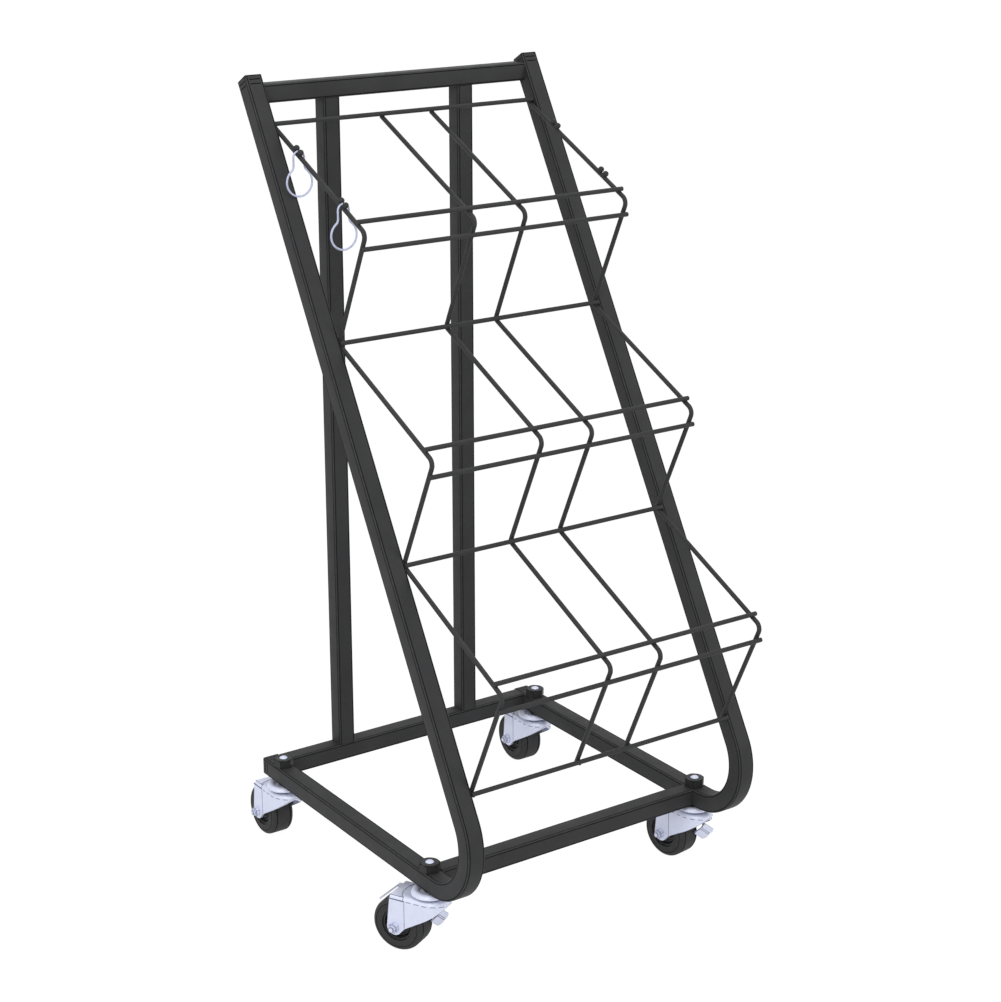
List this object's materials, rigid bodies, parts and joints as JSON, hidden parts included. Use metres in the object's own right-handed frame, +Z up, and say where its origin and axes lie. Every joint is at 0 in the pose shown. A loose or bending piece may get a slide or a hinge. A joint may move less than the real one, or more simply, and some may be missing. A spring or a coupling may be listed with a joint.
{
  "type": "periodical display rack",
  "caption": "Leaning three-tier display rack of square steel tube with zigzag wire shelves, on four swivel casters, two of them braked.",
  "frame": {"origin": "on the floor, in the plane of symmetry, midway between the front and the rear caster stems", "axes": "+Z up, front towards -Y, +X to the right of someone who stands in front of the rack and looks at it"},
  "size_m": [0.5362, 0.6217, 1.1193],
  "materials": {
    "powder_coat": "satin near-black powder coat",
    "bright_zinc": "bright blue-white zinc plate, satin",
    "black_steel": "black oxide, satin",
    "plug_plastic": "black moulded plastic, matt",
    "tread_rubber": "black rubber tread, matt",
    "hub_plastic": "black moulded nylon, matt"
  },
  "bodies": {
    "rack_frame": {"side_tube_left": "powder_coat", "side_tube_right": "powder_coat", "top_crossbar": "powder_coat", "rear_post_left": "powder_coat", "rear_post_right": "powder_coat", "rear_base_rail": "powder_coat", "front_base_rail": "powder_coat", "plug_top_left": "plug_plastic", "plug_top_right": "plug_plastic", "plug_rear_left": "plug_plastic", "plug_rear_right": "plug_plastic", "zigzag_wire_1": "powder_coat", "zigzag_wire_2": "powder_coat", "zigzag_wire_3": "powder_coat", "zigzag_wire_4": "powder_coat", "cross_wire_top": "powder_coat", "cross_wire_back_1": "powder_coat", "cross_wire_back_2": "powder_coat", "cross_wire_back_3": "powder_coat", "cross_wire_shelf_1": "powder_coat", "cross_wire_shelf_2": "powder_coat", "cross_wire_shelf_3": "powder_coat", "cross_wire_front_1": "powder_coat", "cross_wire_front_2": "powder_coat", "cross_wire_front_3": "powder_coat", "ring_pegs_left": "powder_coat", "ring_pegs_right": "powder_coat", "stem_nuts": "black_steel", "stem_collars": "black_steel", "caster_stems": "bright_zinc", "swivel_balls": "bright_zinc", "race_cup_fl": "bright_zinc", "race_cup_fr": "bright_zinc", "race_cup_rl": "bright_zinc", "race_cup_rr": "bright_zinc"},
    "ring_upper": {"hanging_ring_upper": "bright_zinc"},
    "ring_lower": {"hanging_ring_lower": "bright_zinc"},
    "caster_front_left_fork": {"fork_fl": "bright_zinc", "axle_bolt_fl": "bright_zinc", "brake_rivet_fl": "bright_zinc"},
    "caster_front_left_wheel": {"tyre_fl": "tread_rubber", "wheel_hub_fl": "hub_plastic"},
    "caster_front_left_brake": {"brake_lever_fl": "bright_zinc"},
    "caster_front_right_fork": {"fork_fr": "bright_zinc", "axle_bolt_fr": "bright_zinc", "brake_rivet_fr": "bright_zinc"},
    "caster_front_right_wheel": {"tyre_fr": "tread_rubber", "wheel_hub_fr": "hub_plastic"},
    "caster_front_right_brake": {"brake_lever_fr": "bright_zinc"},
    "caster_rear_left_fork": {"fork_rl": "bright_zinc", "axle_bolt_rl": "bright_zinc"},
    "caster_rear_left_wheel": {"tyre_rl": "tread_rubber", "wheel_hub_rl": "hub_plastic"},
    "caster_rear_right_fork": {"fork_rr": "bright_zinc", "axle_bolt_rr": "bright_zinc"},
    "caster_rear_right_wheel": {"tyre_rr": "tread_rubber", "wheel_hub_rr": "hub_plastic"}
  },
  "joints": [
    {"name": "ring_upper_swing", "type": "hinge", "parent": "rack_frame", "child": "ring_upper", "pos_m": [-0.20892, 0.12839, 1.0269], "axis": [-1, 0, 0], "range_deg": [0, 50]},
    {"name": "ring_lower_swing", "type": "hinge", "parent": "rack_frame", "child": "ring_lower", "pos_m": [-0.20892, 0.01511, 0.97406], "axis": [-1, 0, 0], "range_deg": [-95, 50]},
    {"name": "caster_front_left_swivel", "type": "hinge", "parent": "rack_frame", "child": "caster_front_left_fork", "pos_m": [-0.2248, -0.19675, 0.0846], "axis": [0, 0, 1], "continuous": true},
    {"name": "caster_front_left_roll", "type": "hinge", "parent": "caster_front_left_fork", "child": "caster_front_left_wheel", "pos_m": [-0.24419, -0.1595, 0.0375], "axis": [0.887, 0.4617, 0], "continuous": true},
    {"name": "caster_front_left_brake_press", "type": "hinge", "parent": "caster_front_left_fork", "child": "caster_front_left_brake", "pos_m": [-0.21345, -0.17957, 0.069], "axis": [-0.887, -0.4617, 0], "range_deg": [0, 2]},
    {"name": "caster_front_right_swivel", "type": "hinge", "parent": "rack_frame", "child": "caster_front_right_fork", "pos_m": [0.2248, -0.19675, 0.0846], "axis": [0, 0, 1], "continuous": true},
    {"name": "caster_front_right_roll", "type": "hinge", "parent": "caster_front_right_fork", "child": "caster_front_right_wheel", "pos_m": [0.21874, -0.15519, 0.0375], "axis": [0.9895, 0.1444, 0], "continuous": true},
    {"name": "caster_front_right_brake_press", "type": "hinge", "parent": "caster_front_right_fork", "child": "caster_front_right_brake", "pos_m": [0.24117, -0.18426, 0.069], "axis": [-0.9895, -0.1444, 0], "range_deg": [0, 2]},
    {"name": "caster_rear_left_swivel", "type": "hinge", "parent": "rack_frame", "child": "caster_rear_left_fork", "pos_m": [-0.2248, 0.19675, 0.0846], "axis": [0, 0, 1], "continuous": true},
    {"name": "caster_rear_left_roll", "type": "hinge", "parent": "caster_rear_left_fork", "child": "caster_rear_left_wheel", "pos_m": [-0.2248, 0.23875, 0.0375], "axis": [1, 0, 0], "continuous": true},
    {"name": "caster_rear_right_swivel", "type": "hinge", "parent": "rack_frame", "child": "caster_rear_right_fork", "pos_m": [0.2248, 0.19675, 0.0846], "axis": [0, 0, 1], "continuous": true},
    {"name": "caster_rear_right_roll", "type": "hinge", "parent": "caster_rear_right_fork", "child": "caster_rear_right_wheel", "pos_m": [0.2248, 0.23875, 0.0375], "axis": [1, 0, 0], "continuous": true}
  ]
}
